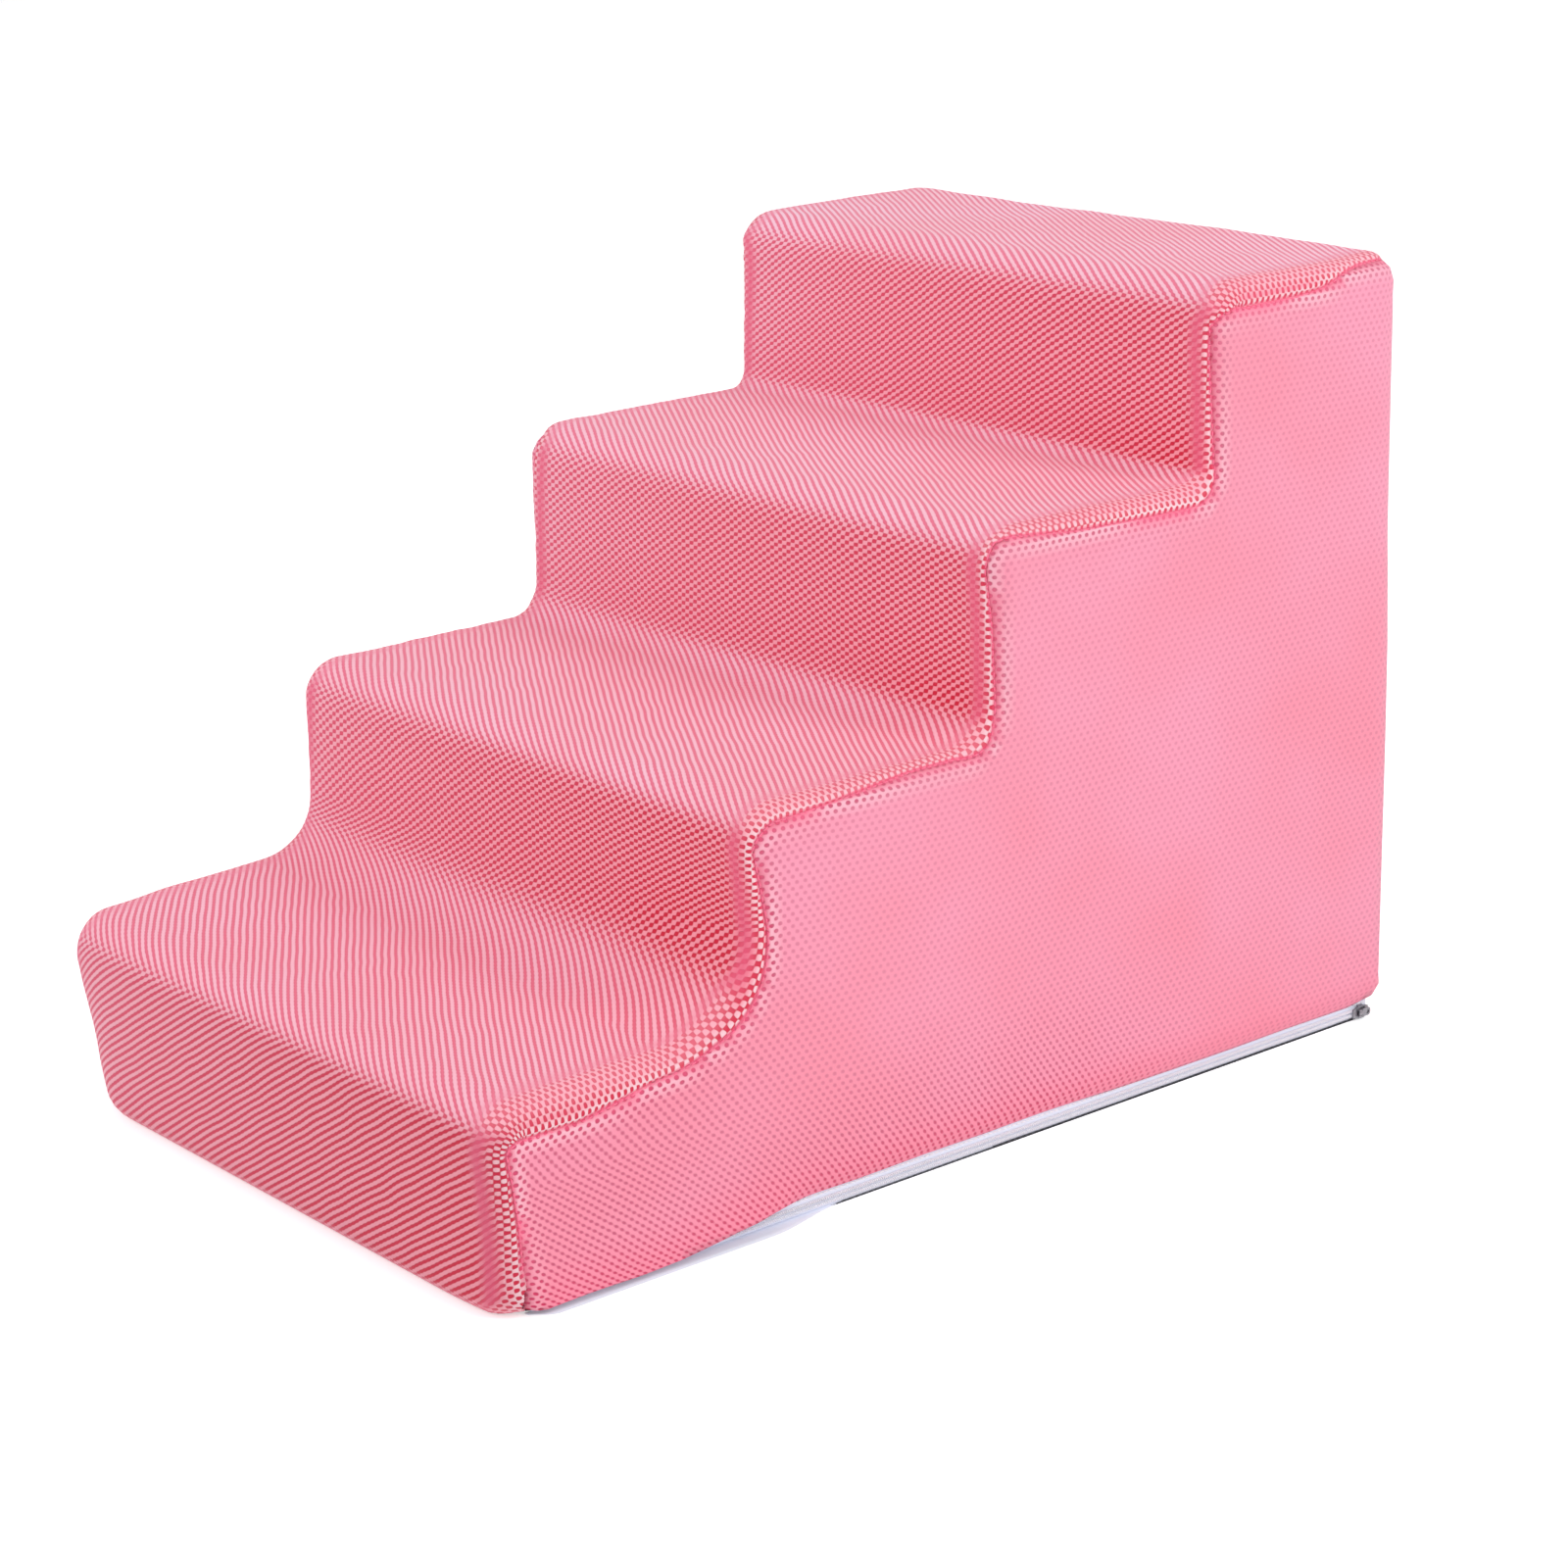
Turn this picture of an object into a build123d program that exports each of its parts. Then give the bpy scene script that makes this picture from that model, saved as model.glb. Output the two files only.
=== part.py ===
from build123d import *
import os
from math import cos, radians, sin, sqrt

# Pet stairs: a stack of glued foam slabs in a zipped mesh cover.
# Lengths are in millimetres. X runs across the stairs, Y from the front to the rear, Z up.
# The origin is at the middle of the footprint, on the floor.

# Stairs as a whole
stair_width = 350.0
tread_run = 140.0
step_rise = 100.0

# Cover fabric, and the soft shape that it takes over the foam
fabric = 3.0
edge_radius = 10.0
seam_nose_radius = 10.0
seam_foot_radius = 2.0
skirt_radius = 16.0
tuck_reach = 45.0
tuck_left = 26.0
tuck_right = 4.0

# How far each nose sinks below its step's level, first step to last, as shares of the rise
nose_sag_shares = (0.09, 0.02, 0.02, 0.07)

# Radius at which the fabric bridges each inner corner, as shares of the rise
bridge_left_shares = (0.3, 0.16, 0.1)
bridge_right_shares = (0.45, 0.2, 0.09)

# Angles at which the rounding along each side is cut into sections, in degrees
rounding_angles = (0.0, 30.0, 60.0, 90.0)

# Sewing thread, in the groove between two panels
thread_radius = 0.3
thread_gap = 0.1
thread_depth = 1.2

# Gap between soft pieces, and the overrun of every cut
soft_gap = 0.3
overrun = 20.0

# Base panel under the foam
base_thickness = 2.5
base_inset = 12.0
base_corner_front_left = 45.0
base_corner_rear_left = 20.0
base_corner_right = 6.0

# Zip along the right bottom edge
tape_thickness = 0.6
tape_cover = 3.5
tape_hem = 8.0
floor_gap = 0.05
coil_width = 1.65
coil_height = 2.0
stop_length = 3.0
stop_width = 1.6
running_gap = 0.2
reveal_margin = 1.9

# Slider and its pull
slider_length = 9.0
slider_width = 6.8
slider_nose_share = 0.68
plate = 0.7
flange = 0.6
flange_drop = 1.5
neck_thickness = 0.5
neck_gap = 0.1
neck_length = 2.5
lug_gap = 2.4
lug_thickness = 0.8
lug_length = 2.0
pin_radius = 0.45
pin_fit = 0.07
eye_wall = 0.43
pull_length = 7.0
pull_width = 4.4
pull_thickness = 0.9
pull_hole_radius = 1.2
park_gap = 0.6

# Sizes that follow from those above
step_count = len(nose_sag_shares)
stair_length = step_count * tread_run
stair_height = step_count * step_rise
half_width = stair_width / 2
front = -stair_length / 2
rear = stair_length / 2
nose_radius = edge_radius + seam_nose_radius
foot_radius = edge_radius + seam_foot_radius
seam_gap = 2 * (thread_radius + thread_gap)
parting = neck_thickness + 2 * neck_gap

os.makedirs("parts", exist_ok=True)


def write(shape, node):
    """Writes one node and prints what it holds."""
    export_step(shape, f"parts/{node}.step")
    solids = shape.solids()
    volume = sum(solid.volume for solid in solids)
    print(f"{node}: {len(solids)} solids, {volume:.2f} mm3")


def between(x, left, right):
    """A value that changes evenly from the left side to the right side."""
    return left + (right - left) * (x + half_width) / stair_width


def tuck(x):
    """How far the foot of the front is drawn back, which grows towards each side."""
    reach = max(0, abs(x) - (half_width - tuck_reach)) / tuck_reach
    deepest = tuck_left if x < 0 else tuck_right
    return deepest * reach * reach


def rounded(x, radius, skin):
    """Depth below the outside, at x, of a surface that lies skin inside a rounding along the side."""
    past = min(max(0, abs(x) - (half_width - radius)), radius - skin)
    return radius - sqrt((radius - skin) ** 2 - past * past)


def corners(x, inset, bottom, bridged=True):
    """Corners of the stairs' side view at x as (y, z), and each one's radius.
    They run up the front from the first nose, down the rear, and back to the foot of the front."""
    first_nose = step_rise * (1 - nose_sag_shares[0])
    lean = tuck(x) / first_nose
    front_inset = inset * sqrt(1 + lean * lean)
    points = []
    radii = []
    for step in range(step_count):
        riser = front + step * tread_run + inset
        level = (step + 1) * step_rise - inset
        if step == 0:
            riser = front + front_inset + inset * lean
        points.append((riser, level - nose_sag_shares[step] * step_rise))
        radii.append(nose_radius - inset)
        if step < step_count - 1:
            share = between(x, bridge_left_shares[step], bridge_right_shares[step])
            points.append((front + (step + 1) * tread_run + inset, level))
            radii.append(share * step_rise + inset if bridged else 0)
    points.append((rear - inset, stair_height - inset))
    radii.append(nose_radius - inset)
    points.append((rear - inset, bottom))
    points.append((front + front_inset + (first_nose - bottom) * lean, bottom))
    return points, radii


def section(x, inset, bottom, foot, bridged=True):
    """The closed side view at x as a face, with its two bottom corners rounded to foot."""
    points, radii = corners(x, inset, bottom, bridged)
    line = FilletPolyline(*[(x, y, z) for y, z in points], radius=radii + [foot, foot], close=True)
    return Face(Wire(line.edges()))


def body(skin, bridged=True):
    """The stairs as one soft block whose surface lies skin below the outside of the cover."""
    stations = {half_width - skirt_radius, half_width - tuck_reach}
    for angle in rounding_angles:
        stations.add(half_width - edge_radius + (edge_radius - skin) * sin(radians(angle)))
    faces = []
    for x in sorted(stations | {-x for x in stations}):
        inset = rounded(x, edge_radius, skin)
        faces.append(section(x, inset, rounded(x, skirt_radius, skin), foot_radius - inset, bridged))
    return loft(faces, ruled=True)


def side_window(side, inset, depth):
    """A prism of the side view, from depth inside the side outwards and open below the floor."""
    x = side * (half_width - depth)
    face = section(side * half_width, inset, -overrun, 0)
    return extrude(face.moved(Location((x - side * half_width, 0, 0))), (depth + overrun), dir=(side, 0, 0))


def slab_box(low, high):
    """Everything between two heights."""
    size = stair_width + stair_length
    return Pos(0, 0, low) * Box(size, size, high - low, align=(Align.CENTER, Align.CENTER, Align.MIN))


def block(x_range, y_range, z_range):
    """A box from three pairs of limits."""
    size = [high - low for low, high in (x_range, y_range, z_range)]
    centre = [(high + low) / 2 for low, high in (x_range, y_range, z_range)]
    return Pos(*centre) * Box(*size)


# Planes of the zip, counted out from the inside face of the side panel at its lower edge
chain_height = floor_gap + tape_thickness + running_gap + slider_width / 2
slider_top = chain_height + slider_width / 2
reveal = slider_top + reveal_margin
below_rounding = max(0, skirt_radius - reveal)
panel_inside = half_width - skirt_radius + sqrt((skirt_radius - fabric) ** 2 - below_rounding ** 2)
tape_out = panel_inside - soft_gap
tape_in = tape_out - tape_thickness
coil_out = tape_out + coil_height
plate_out = (coil_out + running_gap, coil_out + running_gap + plate)
plate_in = (tape_in - running_gap - plate, tape_in - running_gap)
tape_top = reveal + tape_cover
pin_x = plate_out[1] + pin_radius + pin_fit + eye_wall + running_gap / 2

# Ends of the zip, held in the side seam at the front and at the rear
seam_middle = edge_radius + seam_gap
zip_front = front + edge_radius + seam_gap + tuck_right
zip_rear = rear - edge_radius - seam_gap
coil_front = zip_front + 2 * stop_length
coil_rear = zip_rear - stop_length
slider_rear = coil_rear - park_gap
slider_middle = slider_rear - slider_length / 2
slider_travel = slider_rear - slider_length - coil_front - park_gap
base_right = plate_in[0] - soft_gap


# Foam slabs: one block cut at each step's level, with room for the zip along its foot
foam_skin = fabric + soft_gap
core = body(foam_skin, bridged=False)
zip_room = block(
    (base_right - soft_gap, half_width),
    (front - overrun, rear + overrun),
    (-overrun, tape_top + soft_gap),
)
for step in range(step_count):
    low = step * step_rise - foam_skin if step else -overrun
    high = (step + 1) * step_rise - foam_skin if step < step_count - 1 else stair_height
    slab = core & slab_box(low, high)
    if step == 0:
        slab = slab - zip_room
    write(slab, f"foam_slab_{step + 1}")

# Cover: one shell, divided at its seams into the step strip and the two side panels
shell = body(0) - body(fabric)
strip_cut = edge_radius + seam_gap / 2
panel_cut = strip_cut + seam_gap


def base_outline(grow):
    """The base panel's outline, grown outwards, as a face on the floor."""
    left = -half_width + base_inset - grow
    right = base_right + grow
    near = front + base_inset - grow
    far = rear - base_inset + grow
    points = ((left, near), (right, near), (right, far), (left, far))
    radii = (base_corner_front_left, base_corner_right, base_corner_right, base_corner_rear_left)
    line = FilletPolyline(*points, radius=[radius + grow for radius in radii], close=True)
    return Face(Wire(line.edges()))


base_hole = extrude(base_outline(seam_gap).moved(Location((0, 0, -overrun))), overrun + fabric + soft_gap)
strip = shell - base_hole
for side in (-1, 1):
    strip = strip - side_window(side, strip_cut, skirt_radius)
write(strip, "cover_step_strip")

left_panel = (shell & side_window(-1, panel_cut, skirt_radius)) - base_hole
write(left_panel, "cover_side_left")

right_panel = (shell & side_window(1, panel_cut, skirt_radius)) & slab_box(reveal, stair_height)
write(right_panel, "cover_side_right")

# Base panel, thinned along its right margin where the lower zip tape is sewn beneath it
hem_inner = tape_in - tape_hem
base = extrude(base_outline(0), base_thickness)
hem_room = block(
    (hem_inner - soft_gap, half_width),
    (front, rear),
    (-overrun, floor_gap + tape_thickness + running_gap / 2),
)
write(base - hem_room, "cover_base")


# Seam threads: a round thread along the middle of each seam
def thread_along(path):
    """A round thread that follows a path of lines and arcs."""
    start = Plane(origin=path @ 0, z_dir=path % 0)
    return sweep(start * Circle(thread_radius), path=path)


for side, name in ((-1, "left"), (1, "right")):
    x = side * (half_width - thread_depth)
    points, radii = corners(side * half_width, seam_middle, skirt_radius)
    outline = [points[-1]] + points[:-1]
    path = FilletPolyline(*[(x, y, z) for y, z in outline], radius=radii)
    write(thread_along(Wire(path.edges())), f"seam_thread_{name}")

thread_inset = base_inset - seam_gap / 2
near = front + thread_inset
far = rear - thread_inset
left = -half_width + thread_inset
right = base_right - base_corner_right
base_path = FilletPolyline(
    (right, near, fabric / 2),
    (left, near, fabric / 2),
    (left, far, fabric / 2),
    (right, far, fabric / 2),
    radius=[base_corner_front_left + seam_gap / 2, base_corner_rear_left + seam_gap / 2],
)
write(thread_along(Wire(base_path.edges())), "seam_thread_base")

# Zip tapes: the upper one hangs behind the side panel, the lower one turns in under the base
tape_span = (zip_front, zip_rear)
upper_low = chain_height + parting / 2
lower_high = chain_height - parting / 2
write(block((tape_in, tape_out), tape_span, (upper_low, tape_top)), "zip_tape_upper")
lower_leg = block((tape_in, tape_out), tape_span, (floor_gap, lower_high))
lower_hem = block((hem_inner, tape_out), tape_span, (floor_gap, floor_gap + tape_thickness))
write(lower_leg + lower_hem, "zip_tape_lower")

# Zip coils, one on each tape's edge, parted by the slit that the slider's neck runs in
coil_span = (coil_front, coil_rear)
upper_coil = block((tape_out, coil_out), coil_span, (upper_low, upper_low + coil_width))
lower_coil = block((tape_out, coil_out), coil_span, (lower_high - coil_width, lower_high))
for coil, name in ((upper_coil, "upper"), (lower_coil, "lower")):
    long_edges = coil.edges().filter_by(Axis.Y).group_by(Axis.X)[-1]
    write(fillet(long_edges, coil_width / 3), f"zip_coil_{name}")

# End stops: one clamp across both coils at the front, one on each tape at the rear
stop_out = (tape_out, coil_out)
bottom_stop = block(
    stop_out,
    (coil_front - stop_length, coil_front - running_gap),
    (lower_high - stop_width, upper_low + stop_width),
)
write(bottom_stop, "zip_bottom_stop")
top_span = (coil_rear + running_gap, zip_rear - running_gap)
top_stops = block(stop_out, top_span, (upper_low, upper_low + stop_width))
top_stops = top_stops + block(stop_out, top_span, (lower_high - stop_width, lower_high))
write(top_stops, "zip_top_stops")

# Thread that sews the upper tape to the side panel, just under the panel's edge
stitch_height = (slider_top + reveal) / 2
stitch_x = tape_out + thread_radius
stitch = Wire(Line((stitch_x, zip_front, stitch_height), (stitch_x, zip_rear, stitch_height)).edges())
write(thread_along(stitch), "zip_stitching")


# Slider: two plates joined by a neck, with a flange along each edge and lugs that hold a pin
def slider_plate(x_range):
    """One plate of the slider, wide at the rear and narrow at the front."""
    half_rear = slider_width / 2
    half_front = half_rear * slider_nose_share
    y_front = slider_middle - slider_length / 2
    outline = (
        (x_range[0], y_front, chain_height - half_front),
        (x_range[0], slider_middle, chain_height - half_rear),
        (x_range[0], slider_rear, chain_height - half_rear),
        (x_range[0], slider_rear, chain_height + half_rear),
        (x_range[0], slider_middle, chain_height + half_rear),
        (x_range[0], y_front, chain_height + half_front),
    )
    radii = [plate, slider_length / 4, plate, plate, slider_length / 4, plate]
    line = FilletPolyline(*outline, radius=radii, close=True)
    return extrude(Face(Wire(line.edges())), x_range[1] - x_range[0], dir=(1, 0, 0))


slider = slider_plate(plate_out) + slider_plate(plate_in)
for side in (-1, 1):
    outer = chain_height + side * slider_width / 2
    inner = outer - side * flange
    limits = (min(outer, inner), max(outer, inner))
    rail = (slider_middle, slider_rear - plate)
    slider = slider + block((plate_out[0] - flange_drop, plate_out[1]), rail, limits)
neck_span = (slider_rear - neck_length, slider_rear - plate)
neck_limits = (chain_height - neck_thickness / 2, chain_height + neck_thickness / 2)
slider = slider + block((plate_in[0], plate_out[1]), neck_span, neck_limits)
for side in (-1, 1):
    inner = chain_height + side * lug_gap / 2
    outer = inner + side * lug_thickness
    lug = block(
        (plate_out[0], pin_x),
        (slider_middle - lug_length / 2, slider_middle + lug_length / 2),
        (min(inner, outer), max(inner, outer)),
    )
    cap = Pos(pin_x, slider_middle, (inner + outer) / 2) * Cylinder(lug_length / 2, lug_thickness)
    slider = slider + lug + (cap & block((plate_out[0], half_width), (front, rear), (0, slider_top)))
pin = Pos(pin_x, slider_middle, chain_height) * Cylinder(pin_radius, lug_gap + lug_thickness)
write(slider + pin, "zip_slider")

# Pull: an eye round the pin, a neck between the lugs, and a tab with a hole
eye_radius = pin_radius + pin_fit + eye_wall
eye_length = lug_gap - 2 * running_gap
eye = Pos(pin_x, slider_middle, chain_height) * Cylinder(eye_radius, eye_length)
tab_start = slider_middle + lug_length / 2 + running_gap
tab_end = slider_middle + pull_length
tab = block(
    (pin_x - pull_thickness / 2, pin_x + pull_thickness / 2),
    (tab_start, tab_end),
    (chain_height - pull_width / 2, chain_height + pull_width / 2),
)
tab = fillet(tab.edges().filter_by(Axis.X).group_by(Axis.Y)[-1], pull_width * 2 / 5)
tab = fillet(tab.edges().filter_by(Axis.X).group_by(Axis.Y)[0], pull_width / 5)
stem = block(
    (pin_x - pull_thickness / 2, pin_x + pull_thickness / 2),
    (slider_middle, tab_start + pull_width / 5),
    (chain_height - eye_length / 2, chain_height + eye_length / 2),
)
hole = Pos(pin_x, tab_end - pull_width / 2, chain_height) * Rot(0, 90, 0) * Cylinder(
    pull_hole_radius, 2 * pull_thickness
)
bore = Pos(pin_x, slider_middle, chain_height) * Cylinder(pin_radius + pin_fit, 2 * lug_gap)
write(eye + stem + tab - hole - bore, "zip_pull")

print(f"slider travel {slider_travel:.3f} mm, pull axis at {pin_x:.4f}, {slider_middle:.4f}")
print(f"chain height {chain_height:.3f}, panel edge {reveal:.3f}, tape face {tape_out:.4f}")
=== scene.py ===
# %% [markdown]
# # Pet stairs in a pink mesh cover
# The stairs are four slabs of foam in a soft cover with a zip along one bottom edge.
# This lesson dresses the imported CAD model: it sets up the view, makes the fabrics, cuts and lays each
# panel of the cover, and then adds the sewing and the zip.
# Every length below is in millimetres. Each piece is scaled to metres when it is finished.

# %% Load the frame
import math

import bmesh
import bpy
from mathutils import Matrix, Vector, noise


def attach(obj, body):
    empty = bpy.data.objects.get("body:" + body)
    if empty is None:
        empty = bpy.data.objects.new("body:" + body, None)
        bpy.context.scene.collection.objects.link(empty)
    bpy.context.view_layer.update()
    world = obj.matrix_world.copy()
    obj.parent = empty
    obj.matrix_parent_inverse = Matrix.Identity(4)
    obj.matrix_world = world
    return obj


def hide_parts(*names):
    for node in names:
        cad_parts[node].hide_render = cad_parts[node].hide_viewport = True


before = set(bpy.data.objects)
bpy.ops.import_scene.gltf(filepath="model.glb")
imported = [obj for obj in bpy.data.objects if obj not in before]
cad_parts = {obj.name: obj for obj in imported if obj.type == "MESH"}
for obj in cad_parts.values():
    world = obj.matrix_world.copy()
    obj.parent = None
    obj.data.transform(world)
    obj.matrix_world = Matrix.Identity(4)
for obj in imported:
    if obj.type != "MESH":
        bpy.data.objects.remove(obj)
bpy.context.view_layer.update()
MM = 0.001

# %% [markdown]
# ## The view
# The camera stands where it stood for the photograph: to the right of the front edge and a little above,
# nearly 1.9 m away, with a long lens, so the steps hardly taper.
# A camera looks along its own -Z. Its three axes are worked out from two angles, and a small roll is added.

# %% Camera
AZIMUTH, ELEVATION, ROLL = (math.radians(angle) for angle in (49.977, 16.973, -0.777))
back = Vector((math.sin(AZIMUTH) * math.cos(ELEVATION), -math.cos(AZIMUTH) * math.cos(ELEVATION),
               math.sin(ELEVATION)))
level = (-back).cross(Vector((0, 0, 1))).normalized()
upright = level.cross(-back)
right = level * math.cos(ROLL) + upright * math.sin(ROLL)
up = upright * math.cos(ROLL) - level * math.sin(ROLL)
camera = bpy.data.objects.new("camera", bpy.data.cameras.new("camera"))
camera.data.sensor_width = 36
camera.data.lens = 83.32
camera.matrix_world = Matrix((right, up, back)).transposed().to_4x4()
camera.location = (1.32332, -1.08900, 0.66522)
bpy.context.scene.collection.objects.link(camera)
bpy.context.scene.camera = camera
print("camera stands at", [round(c, 3) for c in camera.location])

# %% [markdown]
# ## Materials
# A material is a small graph of nodes. One helper adds a node, sets its properties and joins its inputs:
# an input that is given another node's output is linked, and any other value is written on the input.
# Colours are written as sRGB hex values, as a paint program shows them, and shaders want linear ones.


# %% Node and colour helpers
def add(tree, kind, inputs=None, **settings):
    """Adds one node, with its settings, input values and links."""
    node = tree.nodes.new(kind)
    for name, value in settings.items():
        setattr(node, name, value)
    for name, value in (inputs or {}).items():
        if isinstance(value, bpy.types.NodeSocket):
            tree.links.new(value, node.inputs[name])
        else:
            node.inputs[name].default_value = value
    return node


def colour(code):
    """Linear RGBA from an sRGB hex value such as #FF9EB4."""
    parts = [int(code[i:i + 2], 16) / 255 for i in (1, 3, 5)]
    return [c / 12.92 if c <= 0.04045 else ((c + 0.055) / 1.055) ** 2.4 for c in parts] + [1]


def new_material(name):
    """An empty material, with its tree and its principled shader."""
    material = bpy.data.materials.new(name)
    material.use_nodes = True
    tree = material.node_tree
    return material, tree, tree.nodes["Principled BSDF"]


def tune(shader, values):
    """Sets plain values on a shader's inputs."""
    for name, value in values.items():
        shader.inputs[name].default_value = value


def maths(tree, operation, *values, **settings):
    """One step of arithmetic on numbers or outputs."""
    return add(tree, "ShaderNodeMath", dict(enumerate(values)), operation=operation, **settings).outputs[0]


def mix(tree, share, first, second):
    """A blend of two colours, each a hex value or an output."""
    first, second = (colour(c) if isinstance(c, str) else c for c in (first, second))
    return add(tree, "ShaderNodeMix", {0: share, 6: first, 7: second}, data_type="RGBA").outputs[2]


def dress(tree, shader, paint, height, strength, distance, **settings):
    """Gives a shader its colour and its relief."""
    bump = add(tree, "ShaderNodeBump", {"Height": height, "Strength": strength, "Distance": distance},
               **settings)
    tree.links.new(paint, shader.inputs["Base Color"])
    tree.links.new(bump.outputs[0], shader.inputs["Normal"])


def object_place(tree):
    """The place on the piece, in metres."""
    return add(tree, "ShaderNodeTexCoord").outputs["Object"]


def seen_directly(tree, *more):
    """1 for the camera's rays, for reflections and for any other kinds of ray that are named, else 0."""
    rays = add(tree, "ShaderNodeLightPath").outputs
    seen = rays["Is Camera Ray"]
    for kind in ("Is Glossy Ray", *more):
        seen = maths(tree, "MAXIMUM", seen, rays[kind])
    return seen


# %% [markdown]
# ### Studio
# The floor is pale and plain. Light Path adds glow to it for the camera and for reflections only, so the
# background is white while the stairs get no more light, and their soft shadow stays.
# Large area lamps stand for soft boxes: one high on the right, one on the left front, and a weak one low on
# the right that reaches the zip.

# %% Floor, world and lamps
FLOOR_GLOW, WORLD_LIGHT = 0.5, 0.62
floor_material, tree, shader = new_material("pale_studio_floor")
tune(shader, {"Base Color": colour("#F4F4F4"), "Roughness": 0.9, "Emission Color": (1, 1, 1, 1)})
tree.links.new(maths(tree, "MULTIPLY", seen_directly(tree), FLOOR_GLOW), shader.inputs["Emission Strength"])

bm = bmesh.new()
bmesh.ops.create_grid(bm, x_segments=1, y_segments=1, size=6)
floor = bpy.data.objects.new("floor", bpy.data.meshes.new("floor"))
bm.to_mesh(floor.data)
bm.free()
floor.data.materials.append(floor_material)
bpy.context.scene.collection.objects.link(floor)

world = bpy.data.worlds.new("studio")
bpy.context.scene.world = world
world.use_nodes = True
tree = world.node_tree
seen = seen_directly(tree, "Is Transmission Ray")
strength = add(tree, "ShaderNodeMapRange", {"Value": seen, "To Min": WORLD_LIGHT, "To Max": 1.0})
background = tree.nodes["Background"]
background.inputs["Color"].default_value = (1, 1, 1, 1)
tree.links.new(strength.outputs[0], background.inputs["Strength"])


def lamp(name, place, aim, size, power):
    """A square soft box that shines from one place towards another."""
    light = bpy.data.lights.new(name, "AREA")
    light.size = size
    light.energy = power
    holder = bpy.data.objects.new(name, light)
    holder.location = place
    holder.rotation_euler = (Vector(aim) - Vector(place)).to_track_quat("-Z", "Y").to_euler()
    bpy.context.scene.collection.objects.link(holder)


MIDDLE = (0, 0, 0.2)
lamp("soft_box_right", (2.2, 0.5, 1.9), MIDDLE, 1.6, 31)
lamp("soft_box_left", (-1.2, -2.2, 1.5), MIDDLE, 1.8, 21)
lamp("soft_box_low", (2.6, -0.7, 0.3), (0.17, 0, 0.05), 0.8, 2.5)
bpy.context.scene.view_settings.view_transform = "Standard"

# %% [markdown]
# ### Spacer mesh
# The cover is a spacer mesh: two knitted nets with a pile of stiff yarn between them.
# Each net has rows of small holes on a slanted grid. Looked at square on, the holes show as dots of
# darker pink. Looked at aslant, the upper net hides every other row, and they join to slanted stripes.
# The grid is the sum of cosine waves. Where all waves peak together there is a hole, and where one
# wave is stronger than the others the holes run together to stripes.
# Each vertex of the cloth carries two colour attributes. The first, weave, has the strength of three waves
# and, in its alpha, how open the holes are. The second, tone, says how far the cloth turns to its deep tone,
# which is partly the deeper knit of the opened holes and partly painted shade, to its pale one, a painted
# highlight where it is stretched over an edge, and to the crimson of the seam's crease. Its alpha dims the
# cloth a little: painted shade.

# %% Mesh cloth material
def wave_crest(tree, spot, wave):
    """A cosine wave over a place in metres. The wave is in cycles per mm."""
    phase = add(tree, "ShaderNodeVectorMath", {0: spot, 1: [2 * math.pi * c / MM for c in (*wave, 0)]},
                operation="DOT_PRODUCT")
    return maths(tree, "COSINE", phase.outputs["Value"])


def spacer_mesh(name, waves, dot, yarn, warm, hole, deep_and_shade, deep_and_shaded_hole, pale_highlight, crease):
    """Knitted spacer mesh. Waves are in cycles per mm; dot is where on their sum a hole starts and ends."""
    material, tree, shader = new_material(name)
    cloth = add(tree, "ShaderNodeUVMap", uv_map="cloth").outputs[0]
    wander = add(tree, "ShaderNodeTexNoise", {"Vector": cloth, "Scale": 45.0, "Detail": 1.0})
    drift = add(tree, "ShaderNodeVectorMath", {0: wander.outputs["Color"], 1: (0.5, 0.5, 0.5)},
                operation="SUBTRACT")
    spot = add(tree, "ShaderNodeVectorMath", {0: drift.outputs[0], 1: (0.0012, 0.0012, 0), 2: cloth},
               operation="MULTIPLY_ADD").outputs[0]
    weave = add(tree, "ShaderNodeAttribute", attribute_name="weave")
    parts = add(tree, "ShaderNodeSeparateColor", {"Color": weave.outputs["Color"]})
    total = 0.0
    for number, wave in enumerate(waves):
        total = maths(tree, "MULTIPLY_ADD", wave_crest(tree, spot, wave), parts.outputs[number], total)
    depth = add(tree, "ShaderNodeMapRange", {"Value": total, "From Min": dot[0], "From Max": dot[1]},
                interpolation_type="SMOOTHSTEP")
    opened = maths(tree, "MULTIPLY", depth.outputs[0], weave.outputs["Alpha"], use_clamp=True)
    cloud = add(tree, "ShaderNodeTexNoise", {"Vector": spot, "Scale": 9.0, "Detail": 2.0})
    cloud = add(tree, "ShaderNodeMapRange", {"Value": cloud.outputs[0], "From Min": 0.35, "From Max": 0.65})
    tones = add(tree, "ShaderNodeAttribute", attribute_name="tone")
    deepened_and_shaded, paled_by_highlight, creased = add(tree, "ShaderNodeSeparateColor", {"Color": tones.outputs["Color"]}).outputs
    # Deep colours: partly the deeper knit, partly painted shade. The pale colour is a painted highlight, and
    # the tone's alpha, which dims the paint, is painted shade.
    ground = mix(tree, deepened_and_shaded, mix(tree, cloud.outputs[0], yarn, warm), deep_and_shade)
    pit = mix(tree, deepened_and_shaded, hole, deep_and_shaded_hole)
    paint = mix(tree, creased, mix(tree, opened, mix(tree, paled_by_highlight, ground, pale_highlight), pit), crease)
    paint = add(tree, "ShaderNodeHueSaturation", {"Color": paint, "Value": tones.outputs["Alpha"]})
    fibre = add(tree, "ShaderNodeTexNoise", {"Vector": spot, "Scale": 2600.0, "Detail": 1.0})
    dress(tree, shader, paint.outputs[0], maths(tree, "MULTIPLY_ADD", fibre.outputs[0], 0.12, opened),
          0.5, 0.0006, invert=True)
    tune(shader, {"Roughness": 0.75, "Specular IOR Level": 0.25, "Sheen Weight": 0.15, "Sheen Roughness": 0.5})
    return material


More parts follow.
